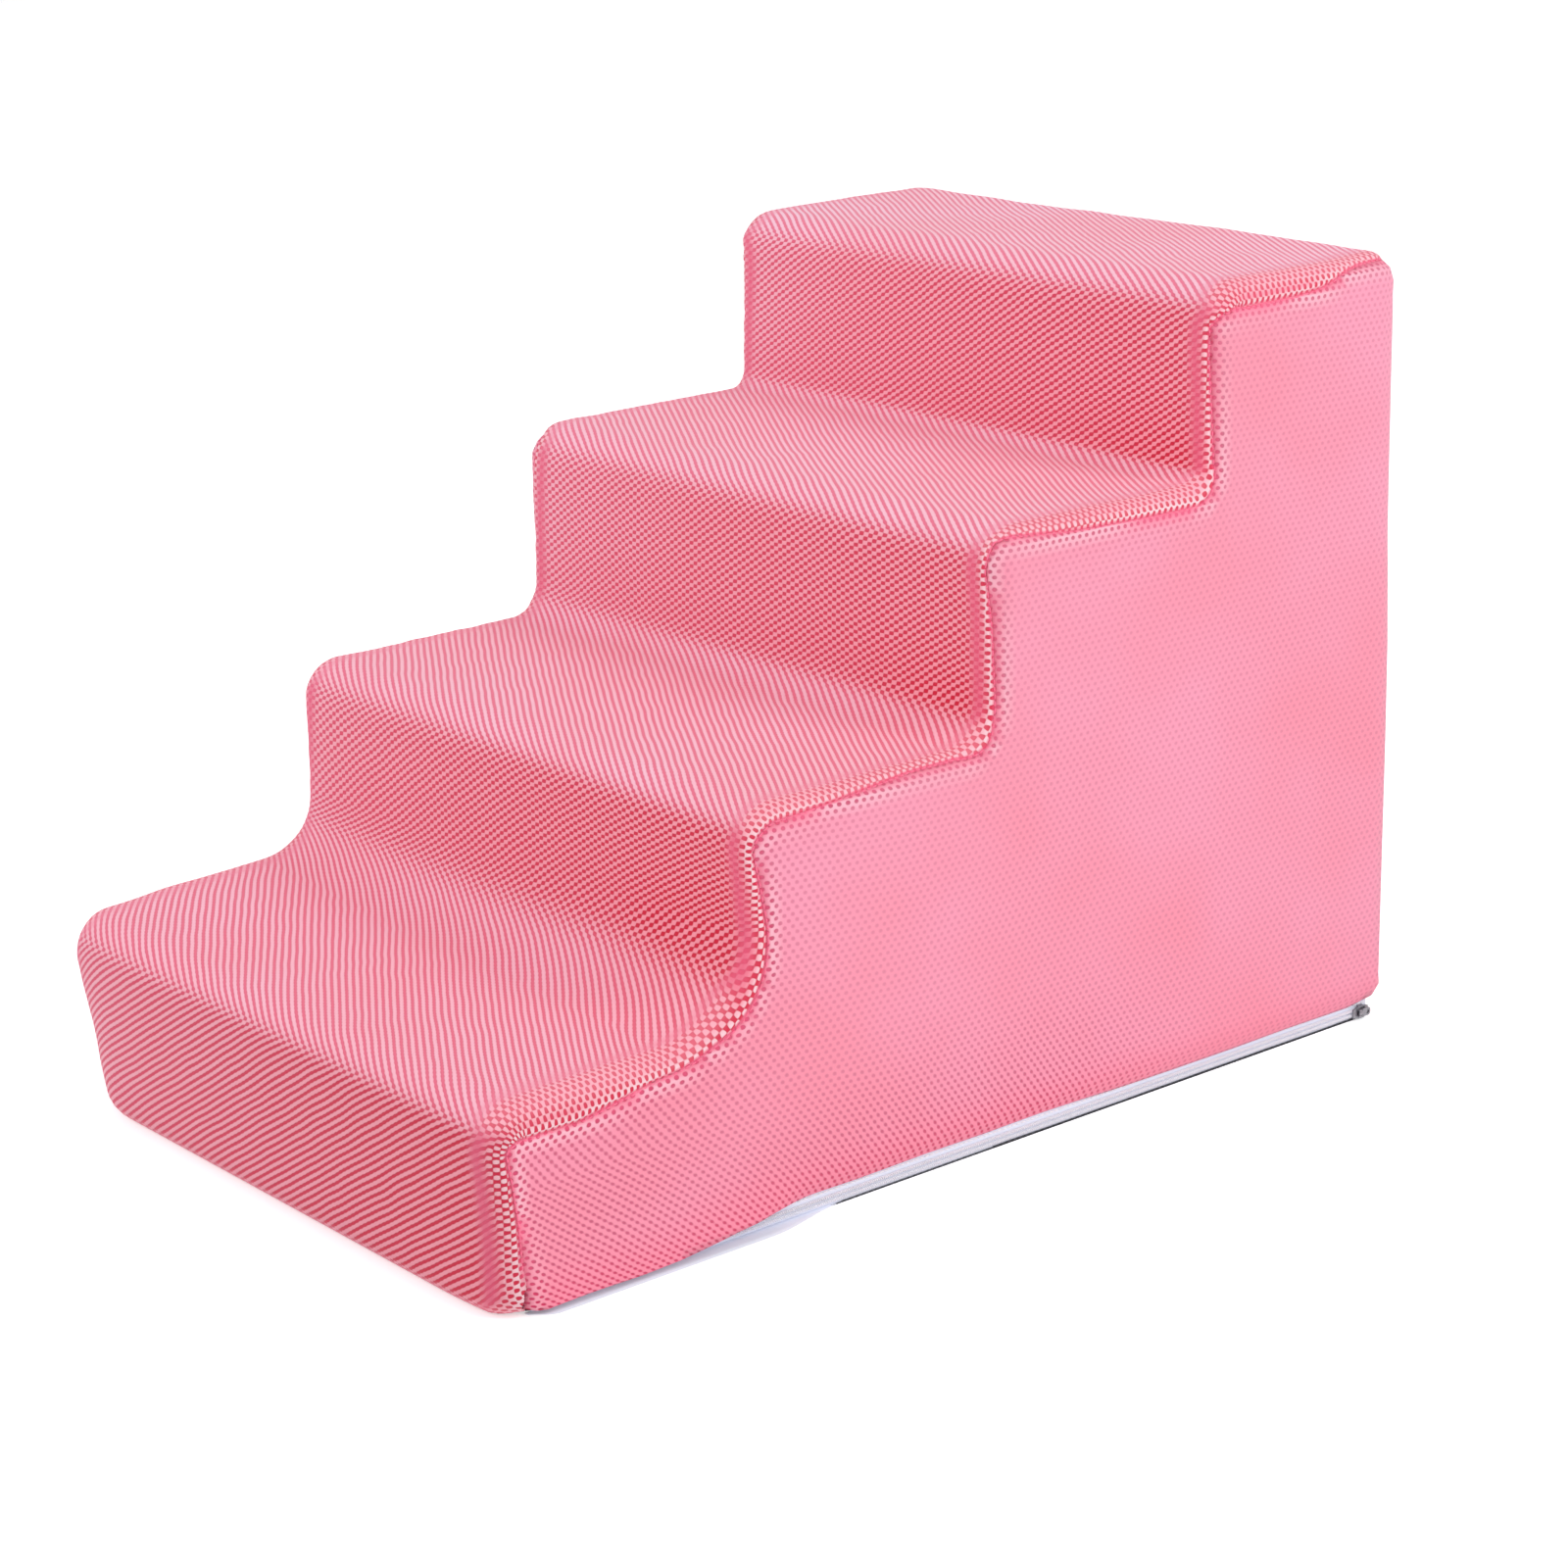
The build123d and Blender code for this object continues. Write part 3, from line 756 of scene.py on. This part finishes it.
# %% Lay a side panel
def lay_panel(bm, side, outline, hem, hang):
    """Bends a flat side panel. hang says, for a y, how straight it hangs and how far out it stands."""
    weave, tone, group = cloth_layers(bm)
    points, marks = side_path(side)
    hem_path = [Vector(point) for point in hem]
    flat, dips = {}, {}
    for vert in bm.verts:
        spot = Vector(vert.co.yz)
        to_seam, to_hem = nearest(spot, outline)[0], nearest(spot, hem_path)[0]
        ahead = 1 - smooth((spot.x - FRONT - 20) / 230)
        skew = ahead * min(max(spot.y, 0), 60)
        flat[vert] = (spot.x + 0.28 * skew, spot.y + 0.16 * skew - 0.14 * ahead * (spot.x - FRONT))
        near = 1 - smooth((to_seam - 1) / 10)
        low = (1 - smooth((to_hem - 8) / 75)) * (1 - smooth((spot.x - 20) / 150))
        stripes = max(1 - smooth((spot.x - FRONT - 40) / 190), 0.9 * low)
        mottle = 0.5 + 0.5 * ripple(0, spot.x, spot.y, 70, 41)
        vert[weave] = (blend(1.0 - 0.5 * stripes, 1.8, near), blend(1.0 + 0.5 * stripes, 1.8, near),
                       blend(1.0 - 0.5 * stripes - 0.2 * mottle, 1.4, near),
                       min(1.0, 0.3 + 0.14 * mottle + 0.6 * near + 0.5 * stripes + 0.15 * low))
        # Painted shade deepens the cloth along the hem; beside the seam the deeper tone goes with the open
        # knit, and the pale share is a painted highlight.
        hem_shade = 1 - smooth(to_hem / 26)
        vert[tone] = (min(1, 0.6 * hem_shade + 0.5 * near + 0.25 * stripes), 0.45 * smooth((9 - to_seam) / 7),
                      0.85 * smooth((1.4 - to_seam) / 0.8), 1)
        vert[group][0] = smooth((to_seam - 1) / 4) * blend(0.3, 1, smooth(to_hem / 6))
        gap, number, share = nearest(spot, points)
        roll = chart(ROUNDING, marks[number])
        foot = points[number].lerp(points[number + 1], share)
        heading = (points[number + 1] - points[number]).normalized()
        inward = Vector((heading.y, -heading.x))
        depth = (spot - foot).dot(inward)
        x, y, z = HALF, *spot
        if depth < roll:
            x, eased = over_edge(HALF - roll + roll * math.pi / 2 + depth - roll, roll)
            y, z = foot + inward * eased
        inset, z = curl(z)
        straight, out = (share * (1 - smooth((z - 16) / 26)) for share in hang(y))
        x -= inset * (1 - straight)
        x += 2.9 * out * (1 - smooth((z - 8) / 34))
        x -= 2.2 * (side > 0) * (1 - straight) * smooth((14 - z) / 5) * smooth((y + 200) / 40)
        y -= heel(side, z) * smooth((y - REAR + 26) / 26)
        vert.co = (side * x, y, z)
        calm = 1 - straight * (1 - smooth((z - 8) / 10))
        swell = 0.5 * smooth(to_seam / 3) * (1 - smooth((to_seam - 4) / 9))
        pucker = 0.5 * ripple(0, y, z, 7, 31) * (1 - smooth((to_seam - 2) / 12)) * smooth(to_seam / 2)
        wave = 1.0 * ripple(x, y, z, 110, 23) * smooth(to_seam / 30)
        shown = z > 3 or straight
        dips[vert] = swell - 1.1 * (1 - smooth(to_seam / 2.4)) + (pucker + wave) * calm if shown else 0
    flat_uv(bm, flat)
    face_outwards(bm, side)
    bm.normal_update()
    for vert in bm.verts:
        vert.co = stand_out(vert.co + vert.normal * dips[vert])


def make_panel(side, label, hem, hang):
    """Cuts, lays and finishes a side panel. Returned with it are its flat size and area, in metres."""
    bm, outline, area, flat = panel(side, hem)
    lay_panel(bm, side, outline, hem, hang)
    piece = finish(bm, f"side_panel_{label}", side_mesh, "stairs", f"cover_side_{label}", slot="side_mesh")
    thicken(piece, PANEL_THICK)
    return piece, flat, area * MM * MM


# %% [markdown]
# The right panel's hem is sewn to the zip, so it is wavy. Near the front corner it hangs lower and stands
# out, so the slider can pass under it, and at the rear corner it rises. The left panel goes on under the skirt
# to the edge of the base.

# %% The right panel
HEM = ((285.2, 21), (279, 16), (272, 11.5), (264, 9.4), (253, 8.2), (209, 8.9), (166, 8.3), (124, 8.3),
       (83, 8.8), (40, 9.6), (0, 9.0), (-40, 9.9), (-80, 9.2), (-105, 9.7), (-122, 9.5), (-137, 9.2),
       (-157, 7.6), (-173, 5.6), (-190, 4.0), (-209, 3.4), (-238, 3.9), (-262, 3.4))
HEM_END, HEM_END_DEPTH = 3, 13.6


def hang_right(y):
    """How straight the right hem hangs at y, and how far out it stands."""
    return [smooth((-108 - y) / 42) * smooth((y + 273) / fade) for fade in (11, 12)]


hem = [(y, height_on_cloth(z)) for y, z in HEM]
hem += [(front_edge(1, HEM_END, HEM_END_DEPTH), height_on_cloth(HEM_END))]
side_panels = [make_panel(1, "right", hem, hang_right)]

# %% The left panel
under = [(285.2, -HALF + 4), (280, -HALF + 8)]
for y in (268.7, 264, 258, 252, 246, 200, 0, -200, -223, -230, -236, -240):
    radius = ROUND_REAR_LEFT if y > 0 else ROUND_FRONT_LEFT
    past = min(max(0, y - BASE_REAR + radius if y > 0 else BASE_FRONT + radius - y), radius)
    x = BASE_LEFT + radius - math.sqrt(radius ** 2 - past ** 2) - MARGIN_GAP
    under.append((y, min(x, -HALF + SKIRT)))
hem = [(y, skirt_height(x)) for y, x in under]
hem += [(front_edge(-1, w, depth), w) for w, depth in CORNER[:2]]
side_panels.append(make_panel(-1, "left", hem, lambda y: (0, 0)))

# %% [markdown]
# ## The base panel
# The base panel is one layer of non-slip cloth. Along the right side its edge is thin, runs on under the
# zip, and is turned up in front of the zip's lower tape, where it shows as a thin dark line.

# %% Base cloth material
base_fabric, tree, shader = new_material("woven_polyester_with_rubber_dots")
spot = object_place(tree)
# Rubber dots every 6 mm give the hand and the eye a gripping surface; the weave between them is finer.
dots = 0.0
for wave in ((1 / 6, 0), (0, 1 / 6)):
    dots = maths(tree, "MULTIPLY_ADD", wave_crest(tree, spot, wave), 1.0, dots)
dots = add(tree, "ShaderNodeMapRange", {"Value": dots, "From Min": 1.0, "From Max": 1.3}).outputs[0]
thread = add(tree, "ShaderNodeTexWave", {"Vector": spot, "Scale": 160.0, "Distortion": 0.5},
             bands_direction="DIAGONAL").outputs[1]
dress(tree, shader, mix(tree, dots, mix(tree, thread, "#3A3A3F", "#55555C"), "#232326"),
      maths(tree, "MULTIPLY_ADD", thread, 0.15, dots), 0.6, 0.0005)
rough = add(tree, "ShaderNodeMapRange", {"Value": dots, "To Min": 0.85, "To Max": 0.5})
tree.links.new(rough.outputs[0], shader.inputs["Roughness"])

# %% The base
BASE_THICK, MARGIN_THICK, LIP, LIP_TOP = 2.5, 0.6, 170.55, 0.95
bm = bmesh.new()
corners = [(BASE_LEFT, BASE_FRONT, ROUND_FRONT_LEFT), (BASE_RIGHT, BASE_FRONT, ROUND_RIGHT),
           (BASE_RIGHT, BASE_REAR, ROUND_RIGHT), (BASE_LEFT, BASE_REAR, ROUND_REAR_LEFT)]
verts = [bm.verts.new((x, y, 0)) for x, y, radius in corners]
bm.faces.new(verts)
for vert, (x, y, radius) in zip(verts, corners):
    bmesh.ops.bevel(bm, geom=[vert], offset=radius, offset_type="OFFSET", segments=10, profile=0.5,
                    affect="VERTICES", material=-1)
base_area = sum(face.calc_area() for face in bm.faces)
bmesh.ops.inset_region(bm, faces=bm.faces[:], thickness=1.2, use_even_offset=True)
bottom = bm.faces[:]
wall = bmesh.ops.extrude_face_region(bm, geom=bottom)
bmesh.ops.translate(bm, vec=(0, 0, BASE_THICK),
                    verts=[item for item in wall["geom"] if isinstance(item, bmesh.types.BMVert)])
margin_end = (BASE_REAR - BASE_FRONT - 2 * ROUND_RIGHT - 10) / 2 + 5
for low, high, near, far, top in ((BASE_RIGHT - 1, LIP, -margin_end, margin_end, MARGIN_THICK),
                                  (LIP - 0.5, LIP, 5, margin_end, LIP_TOP)):
    box = bmesh.ops.create_grid(bm, x_segments=2, y_segments=90, size=0.5)["verts"]
    bmesh.ops.scale(bm, vec=(high - low, far - near, 1), verts=box)
    bmesh.ops.translate(bm, vec=((low + high) / 2, (near + far) / 2, 0), verts=box)
    faces = list({face for vert in box for face in vert.link_faces})
    tops = bmesh.ops.extrude_face_region(bm, geom=faces)["geom"]
    for vert in tops:
        if isinstance(vert, bmesh.types.BMVert):
            vert.co.z = top + 0.3 * ripple(0, vert.co.y, 0, 35, 5) * (top > MARGIN_THICK)
bmesh.ops.recalc_face_normals(bm, faces=bm.faces)
base_panel = finish(bm, "base_panel", base_fabric, "stairs", "cover_base", slot="base_fabric")

# %% [markdown]
# ## The foam inside
# The foam shows only when the cover is off, but it is there. Each slab is taken from the CAD model, remeshed
# in small voxels, which rounds its cut edges as foam's are, and drawn in a little to clear the cover.

# %% Foam
foam, tree, shader = new_material("open_cell_polyurethane_foam")
# Cells of about 1.5 mm, drawn coarser than the real ones, give the cut faces their crumb.
pores = add(tree, "ShaderNodeTexVoronoi", {"Vector": object_place(tree), "Scale": 650.0}).outputs["Distance"]
dress(tree, shader, mix(tree, pores, "#D9CDA8", "#F3ECD2"), pores, 0.6, 0.0005)
tune(shader, {"Roughness": 0.95})


def shaped(mesh, kind, **settings):
    """A bmesh of what one modifier makes of a mesh."""
    blank = bpy.data.objects.new("blank", mesh)
    bpy.context.scene.collection.objects.link(blank)
    modifier = blank.modifiers.new("shape", kind)
    for name, value in settings.items():
        setattr(modifier, name, value)
    bm = bmesh.new()
    bm.from_object(blank, bpy.context.evaluated_depsgraph_get())
    bpy.data.objects.remove(blank)
    return bm


VOXEL, DRAWN_IN = 7, 2.5
for number in range(1, STEPS + 1):
    node = f"foam_slab_{number}"
    bm = shaped(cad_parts[node].data.copy(), "REMESH", mode="VOXEL", voxel_size=VOXEL * MM)
    bmesh.ops.scale(bm, vec=(1 / MM,) * 3, verts=bm.verts)
    bmesh.ops.smooth_vert(bm, verts=bm.verts, factor=0.5, use_axis_x=True, use_axis_y=True, use_axis_z=True)
    bm.normal_update()
    for vert in bm.verts:
        vert.co -= vert.normal * DRAWN_IN
    block = finish(bm, f"foam_block_{number}", foam, "stairs", node, slot="foam")

# %% [markdown]
# ## Sewing
# A lock stitch shows as a row of short raised dashes. Each is a small spindle, and a helper sets
# one every few millimetres along a path.

# %% Thread materials
def sewing_thread(name, code):
    """Spun polyester thread: fine twisted ply, a soft gloss."""
    material, tree, shader = new_material(name)
    # A fine ply along the thread, with painted highlights in slanted lines: a lighter copy of the thread's
    # colour.
    ply = add(tree, "ShaderNodeTexWave", {"Vector": object_place(tree), "Scale": 620.0, "Distortion": 1.0},
              bands_direction="DIAGONAL").outputs[1]
    light = add(tree, "ShaderNodeHueSaturation", {"Color": colour(code), "Value": 1.15})
    dress(tree, shader, mix(tree, ply, code, light.outputs[0]), ply, 0.4, 0.0001)
    tune(shader, {"Roughness": 0.5, "Sheen Weight": 0.3})
    return material


seam_thread = sewing_thread("pink_polyester_thread", "#F26C90")
base_thread = sewing_thread("grey_polyester_thread", "#4A4A50")
zip_thread = sewing_thread("white_polyester_thread", "#F4F4F8")


# %% Stitch helpers
def walk(points, pitch):
    """Evenly spaced places along a path, each with the path's direction there."""
    places, left = [], pitch / 2
    for a, b in zip(points, points[1:]):
        run = (b - a).length
        while left < run:
            places.append((a.lerp(b, left / run), (b - a).normalized()))
            left += pitch
        left -= run
    return places


spindle = bpy.data.meshes.new("spindle")
bm = bmesh.new()
bmesh.ops.create_uvsphere(bm, u_segments=6, v_segments=5, radius=1)
bm.to_mesh(spindle)
bm.free()


def stitches(name, path, length, radius, pitch, material, node, slot):
    """A row of stitches along a path, each a stamped copy of the spindle."""
    bm = bmesh.new()
    for place, heading in walk(path, pitch):
        stamp = spindle.copy()
        stamp.transform(Matrix.Translation(place) @ heading.to_track_quat("Z", "X").to_matrix().to_4x4()
                        @ Matrix.Diagonal((radius, radius, length / 2, 1)))
        bm.from_mesh(stamp)
        bpy.data.meshes.remove(stamp)
    return finish(bm, name, material, "stairs", node, slot=slot)


# %% Stitches along the seams
SUNK = 0.75
for side, label in ((-1, "left"), (1, "right")):
    path = []
    for row in range(8, len(along) - 6):
        x, depth = over_edge(seam_across(stations[row]), chart(ROUNDING, stations[row]))
        path.append(stand_out(surface(side * (x - SUNK), row, depth + SUNK)))
    stitches(f"side_stitches_{label}", path, 3.0, 0.45, 3.4, seam_thread, f"seam_thread_{label}", "seam_thread")

inset = MARGIN_GAP / 2
near, far, left = BASE_FRONT - inset, BASE_REAR + inset, BASE_LEFT - inset
path = follow([(near, left, ROUND_FRONT_LEFT + inset), (far, left, ROUND_REAR_LEFT + inset)],
              (near, BASE_RIGHT - 12), (far, BASE_RIGHT - 12), (40, 60, 40), (16, 12))
path = [Vector((x, y, 1.0)) for y, x in path]
stitches("base_stitches", path, 3.2, 0.4, 3.8, base_thread, "seam_thread_base", "base_thread")

# %% [markdown]
# ## The zip
# A coil zip has two woven tapes, each with a nylon coil along its edge. The upper tape hangs behind the hem
# of the right panel, and the lower one stands on the base's thin edge.

# %% Zip materials
zip_tape, tree, shader = new_material("woven_polyester_zip_tape")
spot = object_place(tree)
# Ribs along the tape, about 0.8 mm apart, with painted shade, a faint lilac, in the hollows.
ribs = add(tree, "ShaderNodeTexWave", {"Vector": spot, "Scale": 390.0, "Distortion": 0.6, "Detail": 1.0},
           bands_direction="Z")
weft = add(tree, "ShaderNodeTexWave", {"Vector": spot, "Scale": 520.0}, bands_direction="Y")
cross = maths(tree, "MULTIPLY", ribs.outputs[1], weft.outputs[1])
dress(tree, shader, mix(tree, cross, "#DCE0EE", "#ECEEF8"), cross, 0.4, 0.0001)
# The tape glows faintly: painted light, which lifts it out of the shade under the hem.
tune(shader, {"Roughness": 0.8, "Emission Color": colour("#EEEEFA"), "Emission Strength": 0.13})

zip_coil, tree, shader = new_material("drawn_nylon_monofilament")
# Nylon lets some light in, so its white is milky; drawing it leaves it smooth.
milk = add(tree, "ShaderNodeTexNoise", {"Vector": object_place(tree), "Scale": 300.0})
tree.links.new(mix(tree, milk.outputs[0], "#EDEDF4", "#FBFBFF"), shader.inputs["Base Color"])
# Its faint glow is painted light, which brightens the coil in the shade under the hem.
tune(shader, {"Roughness": 0.3, "IOR": 1.53, "Emission Color": colour("#F4F4FF"), "Emission Strength": 0.07})

zip_metal, tree, shader = new_material("nickel_plated_zinc_alloy")
# Tumbled plating: dull grey, with faint uneven gloss.
wear = add(tree, "ShaderNodeTexNoise", {"Vector": object_place(tree), "Scale": 900.0, "Detail": 3.0}).outputs[0]
rough = add(tree, "ShaderNodeMapRange", {"Value": wear, "To Min": 0.25, "To Max": 0.45})
tree.links.new(mix(tree, wear, "#77777C", "#A2A2A8"), shader.inputs["Base Color"])
tree.links.new(rough.outputs[0], shader.inputs["Roughness"])
tune(shader, {"Metallic": 1.0})
for node in ("zip_slider", "zip_pull", "zip_bottom_stop", "zip_top_stops"):
    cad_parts[node].data.materials.clear()
    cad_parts[node].data.materials.append(zip_metal)

# %% Zip tapes
TAPE_FACE, TAPE_FRONT, TAPE_REAR = 169.98, -265.2, 269.2
TAPE_THICK, SELVEDGE_THICK = 0.5, 0.3


def tape(name, low, high, node):
    """A ribbon on edge, its face towards +X."""
    bm = bmesh.new()
    bmesh.ops.create_grid(bm, x_segments=4, y_segments=110, size=0.5)
    for vert in bm.verts:
        y, z = blend(TAPE_FRONT, TAPE_REAR, vert.co.y + 0.5), blend(low, high, vert.co.x + 0.5)
        vert.co = (TAPE_FACE - 0.06 - 0.06 * ripple(0, y, z, 25, 13), y, z)
    face_outwards(bm, 1)
    thicken(finish(bm, name, zip_tape, "stairs", node, slot="zip_tape"), TAPE_THICK, fading=False)


tape("upper_zip_tape", 4.6, 13.05, "zip_tape_upper")
tape("lower_zip_tape", 0.65, 3.9, "zip_tape_lower")

# Near the front the lower tape's selvedge lies out on the floor, where it shows under the hem.
bm = bmesh.new()
bmesh.ops.create_grid(bm, x_segments=3, y_segments=60, size=0.5)
for vert in bm.verts:
    y = blend(-268, -90, vert.co.y + 0.5)
    spread = 8.6 * smooth((y + 271) / 15) * smooth((-88 - y) / 50)
    vert.co = (169.4 + (vert.co.x + 0.5) * (0.9 + spread), y, 0.74 - 0.2 * (vert.co.x + 0.5))
selvedge = finish(bm, "lower_zip_selvedge", zip_tape, "stairs", "zip_tape_lower", slot="zip_tape")
thicken(selvedge, SELVEDGE_THICK, fading=False)

# %% Zip coils
WIRE, PITCH = 0.33, 1.15
COIL_FRONT, COIL_REAR = -259.0, 266.0
wire = bpy.data.meshes.new("wire")
bm = bmesh.new()
bmesh.ops.create_circle(bm, segments=5, radius=WIRE, matrix=Matrix.Translation((0.52, 0, 0)))
bm.to_mesh(wire)
bm.free()
for label, middle_z in (("upper", 5.425), ("lower", 3.075)):
    bm = shaped(wire, "SCREW", axis="Y", screw_offset=PITCH, iterations=int((COIL_REAR - COIL_FRONT) / PITCH),
                steps=8, render_steps=8)
    for vert in bm.verts:
        vert.co = (TAPE_FACE + 1.02 + vert.co.x * 1.25, COIL_FRONT + 0.3 + vert.co.y, middle_z + vert.co.z)
    bmesh.ops.recalc_face_normals(bm, faces=bm.faces)
    finish(bm, f"{label}_coil", zip_coil, "stairs", f"zip_coil_{label}", slot="zip_coil")

# %% Stitches along the hem
hem_line = [Vector((TAPE_FACE + 0.2, y, 7.95)) for y in (TAPE_REAR - 1, 0, TAPE_FRONT + 1)]
stitches("hem_stitches", hem_line, 2.9, 0.36, 3.1, zip_thread, "zip_stitching", "zip_thread")
